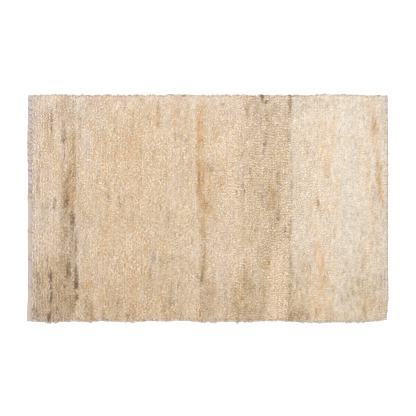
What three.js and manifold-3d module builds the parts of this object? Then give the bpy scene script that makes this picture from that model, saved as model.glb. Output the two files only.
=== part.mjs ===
// A tulu rug of undyed wool, lying flat with its pile up.
// It is one woven piece: a ground of packed weft, with rows of long knotted wool that run across the rug.
// The solid is a slab with a flat underside. Each row is a raised ridge that rises and sinks along its
// length and tapers to a lock at both long sides. More locks hang over the two flat woven ends.
// Frame: +X along the rug, +Y across it, +Z up. The origin is at the middle of the underside.

import * as THREE from "three";
import { mergeVertices } from "three/addons/utils/BufferGeometryUtils.js";
import Module from "manifold-3d";

const { lerp, smoothstep, seededRandom } = THREE.MathUtils;

// Driving dimensions, in millimetres
const LENGTH = 2445; // between the outer lines of the two woven ends
const WIDTH = 1545; // between the mean lines of the row ends
const GROUND_THICKNESS = 5;
const LEFT_END = 30; // width of the flat woven end, which has no knots
const RIGHT_END = 12;
const ROW_PITCH = 18.6; // from one row of knots to the next
const PILE_TOP = 21; // floor to the mean crest of a row
const FLOOR_TIP = 3; // height of a lock's end, where it comes down to the floor

// Relief of the pile, in millimetres
const VALLEY_LEFT = 6.5; // depth between rows at the left, where the rows stand clear of each other
const VALLEY_RIGHT = 4; // and at the right, where the pile is brushed across them
const CLUMP_RISE = 5; // most by which one clump of a row stands over its neighbour
const CLUMP_STRAY = 70; // most by which the middle of a clump strays along its row
const ROW_WANDER = 4; // most by which a row strays sideways
const VALLEY_INSET = 4; // how far the edge steps back between two row ends
const ROW_LOCK_REACH = { least: 2, most: 13 }; // past the mean line of the long sides

// Broad swells of the pile, where it was rolled and walked on
const SWELLS = [
  { rise: 1.2, alongX: 1100, alongY: 1900, start: 0.4 },
  { rise: 0.9, alongX: 430, alongY: -760, start: 2.1 },
  { rise: 0.7, alongX: -290, alongY: 350, start: 4.0 },
];

// Points across the rug: three from each long side inwards, then even steps between the crowns.
const SIDE_PROFILE = [
  { inset: 0, rise: 0 },
  { inset: 10, rise: 0.6 },
  { inset: 30, rise: 1 },
];
const STEPS_BETWEEN_CROWNS = 11;

// How far each edge swells past its mean line, read along it from left to right, or from front to back.
const BACK_EDGE = [
  { along: -1220, out: -1 },
  { along: -1010, out: 4 },
  { along: -810, out: -3 },
  { along: -640, out: 2 },
  { along: -520, out: -3 },
  { along: -440, out: 3 },
  { along: -320, out: -1 },
  { along: -240, out: 4 },
  { along: -60, out: -3 },
  { along: 50, out: 1 },
  { along: 230, out: 0 },
  { along: 380, out: -3 },
  { along: 530, out: 1 },
  { along: 620, out: -2 },
  { along: 800, out: 4 },
  { along: 960, out: 2 },
  { along: 1100, out: -4 },
  { along: 1220, out: -3 },
];
const FRONT_EDGE = [
  { along: -1220, out: -3 },
  { along: -1050, out: 5 },
  { along: -890, out: -5 },
  { along: -810, out: 3 },
  { along: -725, out: -5 },
  { along: -500, out: 4 },
  { along: -400, out: -6 },
  { along: -300, out: -2 },
  { along: -160, out: -9 },
  { along: -80, out: 2 },
  { along: 40, out: 4 },
  { along: 105, out: -4 },
  { along: 190, out: 3 },
  { along: 490, out: -5 },
  { along: 690, out: 5 },
  { along: 880, out: 6 },
  { along: 1100, out: 3 },
  { along: 1165, out: -2 },
  { along: 1220, out: -14 },
];
const LEFT_EDGE = [
  { along: -750, out: 6 },
  { along: -640, out: 0 },
  { along: -410, out: -1 },
  { along: -270, out: 4 },
  { along: -80, out: -1 },
  { along: 60, out: 2 },
  { along: 140, out: -2 },
  { along: 425, out: 3 },
  { along: 730, out: -2 },
];
const RIGHT_EDGE = [
  { along: -750, out: -9 },
  { along: -690, out: 0 },
  { along: -600, out: 4 },
  { along: -330, out: 0 },
  { along: -185, out: 2 },
  { along: 40, out: 0 },
  { along: 445, out: 2 },
  { along: 610, out: -2 },
  { along: 730, out: -3 },
];

// Locks that hang over the woven ends, and two stray ones at the front. From and to are along the edge.
const HANGING_LOCKS = [
  { edge: "left", from: 90, to: 730, count: 15, foot: 36, reach: 9 },
  { edge: "left", from: -700, to: -150, count: 4, foot: 36, reach: 4 },
  { edge: "right", from: -690, to: 730, count: 21, foot: 18, reach: 8 },
  { edge: "front", from: -1027, to: 193, count: 2, foot: 14, reach: 22 },
];
const LOCK_BREADTH = 22; // at the root
const LOCK_FLATNESS = 0.4; // thickness as a share of breadth
const LOCK_ROOT_HEIGHT = 10;
const LOCK_SPREAD = 0.45; // most turn either way, in radians
const LOCK_SIDES = 4;
const LOCK_STEPS = 2;

const SEED = 41;
seededRandom(SEED);

function between(least, most) {
  return lerp(least, most, seededRandom());
}

// The swell of an edge at a place along it, eased from one row of its table to the next.
function swellOfEdge(edge, along) {
  const next = edge.findIndex((row) => row.along > along);
  if (next === 0) return edge[0].out;
  if (next < 0) return edge.at(-1).out;
  const [before, after] = [edge[next - 1], edge[next]];
  return lerp(before.out, after.out, smoothstep(along, before.along, after.along));
}

// The edges' swells fade towards the middle of the rug, so the rows near an edge bend with it.
function placeOnRug(x, y) {
  const nearEnd = Math.abs(x / (LENGTH / 2)) ** 4;
  const nearSide = Math.abs(y / (WIDTH / 2)) ** 4;
  const end = x < 0 ? LEFT_EDGE : RIGHT_EDGE;
  const side = y < 0 ? FRONT_EDGE : BACK_EDGE;
  return {
    x: x + Math.sign(x) * nearEnd * swellOfEdge(end, y),
    y: y + Math.sign(y) * nearSide * swellOfEdge(side, x),
  };
}

function swellOfPile(x, y) {
  const heights = SWELLS.map(
    ({ rise, alongX, alongY, start }) =>
      rise * Math.sin(start + 2 * Math.PI * (x / alongX + y / alongY)),
  );
  return heights.reduce((sum, height) => sum + height, 0);
}

// One column of points on the outer line and the foot of each woven end, and two for each row of knots:
// its crest and the valley after it. The last valley is the foot of the right end.
function makeColumns() {
  const rowsWide = LENGTH - LEFT_END - RIGHT_END;
  const rows = Math.round(rowsWide / ROW_PITCH);
  const pitch = rowsWide / rows;
  const firstRow = -LENGTH / 2 + LEFT_END;
  const columns = [
    { x: -LENGTH / 2, kind: "woven" },
    { x: firstRow, kind: "woven" },
  ];
  for (let row = 0; row < rows; row += 1) {
    columns.push({ x: firstRow + (row + 0.5) * pitch, kind: "crest" });
    columns.push({ x: firstRow + (row + 1) * pitch, kind: "valley" });
  }
  columns.at(-1).kind = "woven";
  columns.push({ x: LENGTH / 2, kind: "woven" });
  return columns;
}

function makeStations() {
  const fromSide = (side) =>
    SIDE_PROFILE.map(({ inset, rise }) => ({ y: side * (WIDTH / 2 - inset), rise, side }));
  const front = fromSide(-1);
  const back = fromSide(1).reverse();
  const inner = [];
  for (let step = 1; step < STEPS_BETWEEN_CROWNS; step += 1) {
    const y = lerp(front.at(-1).y, back[0].y, step / STEPS_BETWEEN_CROWNS);
    inner.push({ y, rise: 1, side: 0, inner: true });
  }
  return [...front, ...inner, ...back];
}

function topPoint(column, station) {
  const stray = station.inner ? between(-CLUMP_STRAY / 2, CLUMP_STRAY / 2) : 0;
  const { x, y } = placeOnRug(column.x, station.y + stray);
  if (column.kind === "woven") return new THREE.Vector3(x, y, GROUND_THICKNESS);
  const crest = column.kind === "crest";
  const brushed = smoothstep(column.x, -LENGTH / 4, LENGTH / 4);
  const valley = crest ? 0 : lerp(VALLEY_LEFT, VALLEY_RIGHT, brushed);
  const clump = between(-CLUMP_RISE / 2, CLUMP_RISE / 2);
  const height = PILE_TOP + swellOfPile(x, y) + clump - valley;
  const wander = between(-ROW_WANDER / 2, ROW_WANDER / 2);
  const reach = crest ? between(ROW_LOCK_REACH.least, ROW_LOCK_REACH.most) : -VALLEY_INSET;
  const atRim = station.rise === 0;
  const foot = crest ? FLOOR_TIP : GROUND_THICKNESS;
  return new THREE.Vector3(
    x + wander,
    y + (atRim ? station.side * reach : 0),
    lerp(foot, height, station.rise),
  );
}

// The slab: the pile's surface on top, a low wall round the rim and a flat underside.
function makeSlab() {
  const columns = makeColumns();
  const stations = makeStations();
  const lastColumn = columns.length - 1;
  const lastStation = stations.length - 1;
  const points = [];
  const triangles = [];
  const addPoint = (point) => points.push(point.x, point.y, point.z) / 3 - 1;
  const addQuad = (a, b, c, d) => triangles.push(a, b, c, a, c, d);

  const top = columns.map((column) =>
    stations.map((station) => addPoint(topPoint(column, station))),
  );
  for (let i = 0; i < lastColumn; i += 1) {
    for (let j = 0; j < lastStation; j += 1) {
      addQuad(top[i][j], top[i + 1][j], top[i + 1][j + 1], top[i][j + 1]);
    }
  }

  // The rim, once round: front side, right end, back side, left end.
  const front = top.slice(0, -1).map((column) => column[0]);
  const right = top[lastColumn].slice(0, -1);
  const back = top.slice(1).map((column) => column[lastStation]).reverse();
  const left = top[0].slice(1).reverse();
  const rim = [...front, ...right, ...back, ...left];
  const under = new Map(
    rim.map((index) => {
      const [x, y] = points.slice(3 * index, 3 * index + 2);
      return [index, addPoint({ x, y, z: 0 })];
    }),
  );
  rim.forEach((here, step) => {
    const next = rim[(step + 1) % rim.length];
    addQuad(under.get(here), under.get(next), next, here);
  });

  // The underside: one long strip below each pair of columns, and a fan along each woven end.
  const below = (column, station) => under.get(top[column][station]);
  for (let i = 1; i < lastColumn - 1; i += 1) {
    addQuad(below(i, 0), below(i, lastStation), below(i + 1, lastStation), below(i + 1, 0));
  }
  const half = Math.floor(lastStation / 2);
  for (let j = 0; j < lastStation; j += 1) {
    const hub = j < half ? 0 : lastStation;
    triangles.push(below(0, j), below(0, j + 1), below(1, hub));
    triangles.push(below(lastColumn, j + 1), below(lastColumn, j), below(lastColumn - 1, hub));
  }
  triangles.push(below(0, half), below(1, lastStation), below(1, 0));
  triangles.push(below(lastColumn, half), below(lastColumn - 1, 0), below(lastColumn - 1, lastStation));

  const geometry = new THREE.BufferGeometry();
  geometry.setAttribute("position", new THREE.Float32BufferAttribute(points, 3));
  geometry.setIndex(triangles);
  return geometry;
}

// A lock that leaves the pile behind an edge, lies over the edge and comes down to the floor outside it.
// It is made along +X from its root, then turned to its edge.
function makeLock({ edge, along, foot, reach }) {
  const length = foot + reach * between(0.7, 1.2);
  const halfCorner = Math.PI / LOCK_SIDES;
  const radius = LOCK_BREADTH / (2 * Math.sin(halfCorner));
  const geometry = new THREE.ConeGeometry(radius, length, LOCK_SIDES, LOCK_STEPS, false, halfCorner);
  geometry.rotateZ(-Math.PI / 2);
  const position = geometry.getAttribute("position");
  for (let i = 0; i < position.count; i += 1) {
    const share = position.getX(i) / length + 0.5;
    const middle = lerp(LOCK_ROOT_HEIGHT, FLOOR_TIP, share ** 2);
    const fullness = 1 + share; // a lock keeps its body for half its length, then tapers
    position.setX(i, share * length);
    position.setY(i, fullness * position.getY(i));
    position.setZ(i, middle + fullness * LOCK_FLATNESS * position.getZ(i));
  }
  const toEdge = {
    left: { turn: Math.PI, x: -LENGTH / 2 + foot, y: along },
    right: { turn: 0, x: LENGTH / 2 - foot, y: along },
    front: { turn: -Math.PI / 2, x: along, y: -WIDTH / 2 + foot },
  }[edge];
  geometry.rotateZ(toEdge.turn + between(-LOCK_SPREAD, LOCK_SPREAD));
  geometry.translate(toEdge.x, toEdge.y, 0);
  return geometry;
}

function makeHangingLocks() {
  return HANGING_LOCKS.flatMap(({ edge, from, to, count, foot, reach }) => {
    const step = (to - from) / (count - 1);
    return Array.from({ length: count }, (_, i) =>
      makeLock({ edge, along: from + i * step, foot, reach }),
    );
  });
}

// Join the locks to the slab.
const wasm = await Module();
wasm.setup();

function toSolid(geometry) {
  geometry.deleteAttribute("normal");
  geometry.deleteAttribute("uv");
  const merged = mergeVertices(geometry);
  return new wasm.Manifold(
    new wasm.Mesh({
      numProp: 3,
      vertProperties: merged.getAttribute("position").array,
      triVerts: new Uint32Array(merged.index.array),
    }),
  );
}

function toGeometry(solid) {
  const { vertProperties, triVerts } = solid.getMesh();
  const geometry = new THREE.BufferGeometry();
  geometry.setAttribute("position", new THREE.BufferAttribute(vertProperties, 3));
  geometry.setIndex(new THREE.BufferAttribute(triVerts, 1));
  return geometry;
}

const joined = makeHangingLocks()
  .map(toSolid)
  .reduce((rug, lock) => rug.add(lock), toSolid(makeSlab()));
const geometry = toGeometry(joined);

// The origin goes to the middle of the underside.
geometry.computeBoundingBox();
const middle = geometry.boundingBox.getCenter(new THREE.Vector3());
geometry.translate(-middle.x, -middle.y, -geometry.boundingBox.min.z);
geometry.computeVertexNormals();

const undyedWool = new THREE.MeshStandardMaterial({
  color: "#dcc6a9",
  roughness: 1,
  metalness: 0,
});

const rug = new THREE.Mesh(geometry, undyedWool);
rug.name = "rug";

const group = new THREE.Group();
group.add(rug);
export default group;
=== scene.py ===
import math

import bpy
import numpy as np
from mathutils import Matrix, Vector
from mathutils.bvhtree import BVHTree


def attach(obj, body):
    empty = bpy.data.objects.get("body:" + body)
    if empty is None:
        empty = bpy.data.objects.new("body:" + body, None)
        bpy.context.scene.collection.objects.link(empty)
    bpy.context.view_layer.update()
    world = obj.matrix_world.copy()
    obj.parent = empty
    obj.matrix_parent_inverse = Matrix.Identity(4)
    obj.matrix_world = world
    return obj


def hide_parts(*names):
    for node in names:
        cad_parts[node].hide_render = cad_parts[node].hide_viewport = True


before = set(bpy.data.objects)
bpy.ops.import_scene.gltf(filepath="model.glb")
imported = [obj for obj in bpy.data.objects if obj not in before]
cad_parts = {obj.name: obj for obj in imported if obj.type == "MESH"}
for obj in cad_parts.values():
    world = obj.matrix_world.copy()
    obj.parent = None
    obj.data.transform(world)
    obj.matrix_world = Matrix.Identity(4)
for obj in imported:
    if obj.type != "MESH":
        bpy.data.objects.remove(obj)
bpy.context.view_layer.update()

MM = 0.001
SEED = 17

# The rug as it was woven
RUG_WIDTH = 1545
RUG_LENGTH = 2445
MIDDLE = (0.3, 4.2)  # of the rows, from the origin
LEFT_END = 30  # width of the flat woven ends, which have no knots
RIGHT_END = 12
ROWS = 129
ROW_PITCH = (RUG_LENGTH - LEFT_END - RIGHT_END) / ROWS
FIRST_ROW = MIDDLE[0] - RUG_LENGTH / 2 + LEFT_END + ROW_PITCH / 2
CORNER = (9, 20)  # points of the solid's rim this near to an end, or to a side, belong to a corner
GROUND_THICKNESS = 4.6
GROUND_ROUNDING = 4  # of its edge
SELVEDGE_INSET = 4  # of the ground's sides from the mean line of the locks' ends
SELVEDGE_SPAN = 8  # rows to each side over which that line is evened out
WARP_PITCH = 5.2
WEFT_PITCH = 2.1

# The locks of wool
TUFTS_A_ROW = 325  # one to a knot
LOCKS_A_TUFT = 2
TUFT_LENGTH = 7  # over the roots of its locks, along the way they lie
TUFT_BREADTH = 1.0  # how far its locks stray from its middle line
ROOT_HEIGHT = 3.5  # inside the ground
TUFT_DROP = 2.6  # how far the lowest tufts lie below the others
LOCK_DROP = 1.6  # and the lowest locks of a tuft below its own top
LOCK_STRAY = 0.12  # of a lock from its tuft, in radians
LOCK_ROLL = 9  # about its own line, in degrees
KNOT_INSET = 12  # of the outermost tufts from the ends of their row, and of their locks' roots
ROOT_INSET = 7
PARTED_SPREAD = 5  # of the roots from the middle of their row, where the rows part
LOCK = {"reach": 30, "crown": 16, "breadth": 7}  # of the shapes below, before each is scaled to its place
REACH = (10, 20)
BREADTH = (3.6, 7.6)
LOOSE = {"turn": (40, 120), "reach": 0.72, "breadth": 0.75}  # of a loose lock, against the others about it
LEAST_REACH = 10
LEAST_CROWN = 4
RIM_BAND = 6  # a lock whose tip comes this near to the rim is laid over the edge
RIM_REACH = 0.62  # of its full reach, at the far side and the right end
RIDGE_PITCH = 17.5  # where the wool lies across the rows, its tufts run together in wavy ridges
RIDGE_DRAW = 3.0  # how far the tufts draw together in them
RIDGE_DROP = 3.2  # how far the wool lies lower between them
STRAND_SHARE = 0.6  # elsewhere the tufts of a strand share so much of their brightness
DOWN_INSET = 7  # from the ends of the rows
EDGE_LOCKS = 8  # at each end of a row, laid over the edge of the ground
HANGING_STRANDS = 8  # in each lock that hangs over a woven end
STRAY_STRANDS = 4  # in each loose lock at the front
COMB = 3.0  # how far the tips are combed aside, and over what distance that changes
COMB_SPACING = 24.0

# How the wool lies, from left to right: the way it leans, in degrees from +X, and how much that turns from
# the middle to the sides. How far patches of it and single locks stray from that. The share of loose locks,
# which lie across the others. How far the roots spread from the middle of their row. How far the fine wool
# between the locks lies below the solid's top. How much the wool runs across the rows, from 0 to 1.
LAY = {
    "x": (-1223, -1060, -900, -650, -100, 60, 250, 560, 720, 1223),
    "heading": (-91, -90, -88, -84, -66, -46, -16, -8, -4, 0),
    "lean": (0, 4, 6, 8, 20, 25, 16, 12, -12, -12),
    "stray": (8, 10, 22, 30, 34, 34, 30, 26, 24, 20),
    "single": (5, 6, 20, 34, 34, 26, 14, 10, 10, 10),
    "loose": (0.10, 0.12, 0.34, 0.46, 0.44, 0.36, 0.20, 0.14, 0.12, 0.12),
    "spread": (8.2, 8.2, 9.0, 9.3, 9.3, 9.3, 9.3, 9.3, 9.3, 9.3),
    "down": (4.0, 4.4, 5.2, 5.0, 5.2, 5.6, 5.8, 5.8, 4.4, 4.0),
    "across": (0, 0, 0.1, 0.2, 0.4, 0.8, 1, 1, 1, 1),
}

# Random unevenness: its strength, over what length it changes along the rug and across it, and its seed
NOISES = {
    "broad askew patches": (1, 70, 85, 31),
    "small askew patches": (0.7, 28, 30, 32),
    "broad unruly patches": (0.5, 95, 110, 33),
    "small unruly patches": (0.3, 35, 40, 34),
    "wander of the ridges": (1, 52, 160, 39),
    "swell of the ground": (0.05, 40, 60, 71),
    "strands of yarn": (0.5, 8, 110, 95),
    "clouds": (0.6, 60, 110, 100),
    "specks along the rows": (1, 8, 17, 110),
    "specks over the rows": (1, 17, 8, 120),
    "sides of a streak": (5, 30, 45, 200),
    "bends of a streak": (1, 60, 140, 201),
    "ends of a streak": (1, 19, 60, 202),
    "breaks of a streak": (0.36, 16, 42, 203),
    "long breaks of a streak": (0.18, 19, 150, 204),
}
# And along a row of knots: strength, length, seed, and a step from row to row that keeps them unlike
ROW_NOISES = {
    "bunching of the roots": (2, 13, 36, 29.0),
    "parting of the rows": (0.9, 26, 35, 41.0),
    "strands of tufts": (0.7, 30, 40, 23.0),
    "shades of yarn": (1, 260, 90, 37.0),
}

# A lock's middle line: share of its reach, share of its crown, and millimetres aside. The last is its tip.
LOCK_SHAPES = {
    "laid": [(0.04, 0.45, 0), (0.46, 1.00, -0.4), (1.00, 0.70, 0.6)],
    "waved": [(0.04, 0.45, 0.8), (0.48, 1.00, -1.4), (1.00, 0.72, 1.6)],
    "waved_back": [(0.04, 0.45, -0.8), (0.48, 1.00, 1.4), (1.00, 0.72, -1.6)],
    "curled": [(0.06, 0.50, 0), (0.60, 1.00, 1.2), (0.92, 0.80, 5.5)],
    "curled_back": [(0.06, 0.50, 0), (0.60, 1.00, -1.2), (0.92, 0.80, -5.5)],
    "raised": [(0.02, 0.40, 0), (0.34, 0.92, 0.5), (0.80, 1.02, 1.6)],
    "over_edge": [(0, 0.40, 0), (0.40, 0.96, 0.6), (1.00, 0.14, 1.0)],
    "over_edge_back": [(0, 0.40, 0), (0.40, 0.96, -0.6), (1.00, 0.14, -1.2)],
}
# Which of these are drawn for each kind of lock, by their number from 0
LYING_SHAPES = [0, 0, 1, 2, 3, 4, 5]
LOOSE_SHAPES = [1, 2, 3, 4]
EDGE_SHAPES = [6, 7]
RING_BREADTHS = (0.74, 1.0)
RING_THICKNESS = 0.40  # as a share of breadth
TRIANGLE_HEIGHT = 0.866  # over its side
LOCK_STATIONS = (0.08, 0.5, 1.0)  # of the rings and the tip in the lock's maps
CELL_MARGIN = 0.08  # around each lock's own cell of the bake map
# A fibre of wool is 0.03 mm thick, too fine to show, so the fibres are drawn as strands about 2 mm broad.
FIBRES_A_LOCK = (14.0, 3.0, 0)  # strands along a lock and around it, in the fibre map
FIBRES_APART = (31.0, 17.0, 0)  # of one lock from the next in that map
FIBRE_SIZE = (3, 2.2)  # of a strand on the down, along the rug and across

# The woven ends' hanging locks in the solid: where they leave the pile, along each end
HANGING_ROOTS = [
    {"end": "left", "start": -700, "stop": -150, "count": 4, "foot": 36},
    {"end": "left", "start": 90, "stop": 730, "count": 15, "foot": 36},
    {"end": "right", "start": -690, "stop": 730, "count": 21, "foot": 18},
]

# Shades of the wool, as sRGB
WOOL = {
    "sand": "#fcefde",
    "cream": "#d5d0c7",
    "honey": "#dead62",
    "khaki": "#b29a62",
    "umber": "#785528",
    "ash": "#d8d0d2",
    "peach": "#f2e0cc",
}
TONES = ("cream", "honey", "khaki", "ash", "peach", "umber")  # each laid over the ones before
ROOT_STAIN_AND_PAINTED_SHADES = {"knotted": "#e4d4bb", "matted": "#bfad90"}  # low in the wool: painted shade of the deep pile, with some of the roots' own stain of grease and dirt
DIMMEST_TONE_AND_SHADE, BRIGHTEST_TONE_AND_HIGHLIGHT = (0.91, 0.895, 0.87), (1.0, 1.03, 1.07)  # by the chance of each lock. The dim end is tinted warm, as painted shade, and the bright end cool, as painted highlight.
WEAVE_SHADES = ("#beb0a4", "#ac9c90")

# The share of other tones in the wool's sand colour, from left to right
GROUND_SHADE = {
    "x": (-1223, -1180, -1120, -1000, -860, -700, -480, -300, -110)
    + (80, 210, 546, 576, 820, 960, 1100, 1190, 1223),
    "cream": (0.12, 0.16, 0.18, 0.18, 0.18, 0.16, 0.14, 0.22, 0.28)
    + (0.27, 0.30, 0.32, 0.66, 0.65, 0.95, 0.76, 0.66, 0.66),
    "ash": (0.58, 0.52, 0.30, 0.18, 0.16, 0.10, 0.08, 0.08, 0.06)
    + (0.08, 0.06, 0.04, 0.00, 0.00, 0.05, 0.10, 0.26, 0.50),
    "honey": (0.00, 0.00, 0.02, 0.05, 0.01, 0.07, 0.09, 0.07, 0.08)
    + (0.05, 0.07, 0.07, 0.08, 0.10, 0.05, 0.11, 0.06, 0.02),
    "khaki": (0.04, 0.00, 0.00, 0.02, 0.00, 0.01, 0.01, 0.02, 0.03)
    + (0.00, 0.01, 0.09, 0.02, 0.02, 0.05, 0.05, 0.05, 0.04),
}
# More of these towards the far side, and of those towards the near side. The near side's tones are partly
# the wool's own and partly painted shade, darker where the light falls off from far to near.
HEAD_START, HEAD_SHADE = 480, {"cream": 0.20, "ash": 0.16, "khaki": 0.04}
FOOT_START, FOOT_TONES_AND_PAINTED_SHADE = -330, {"honey": 0.13, "khaki": 0.07}
# Painted shade along the rim: greyer along both sides, and darker along the near one, which faces away from
# the key light.
RIM_PAINTED_SHADE = {-1: {"ash": 0.60, "umber": 0.08}, 1: {"ash": 0.36, "khaki": 0.10}}
RIM_SHADE_WIDTH = 24
HANGING_SHADE = {"khaki": 0.30, "ash": 0.80, "umber": 0.34}  # of the locks over the woven ends
# How far these change from row to row
YARN_SHADES = {"honey": 0.19, "cream": 0.28, "khaki": 0.09, "ash": 0.13, "peach": 0.28}
# How far each changes from lock to lock
SPECKLE = {"cream": 0.45, "honey": 0.80, "khaki": 0.80, "ash": 0.80, "peach": 0.80, "umber": 0.95}
# Specks of other wool: how rare and how strong they are
SPECKS = {"umber": (0.60, 0.30), "honey": (0.36, 0.32), "ash": (0.40, 0.42)}

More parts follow.
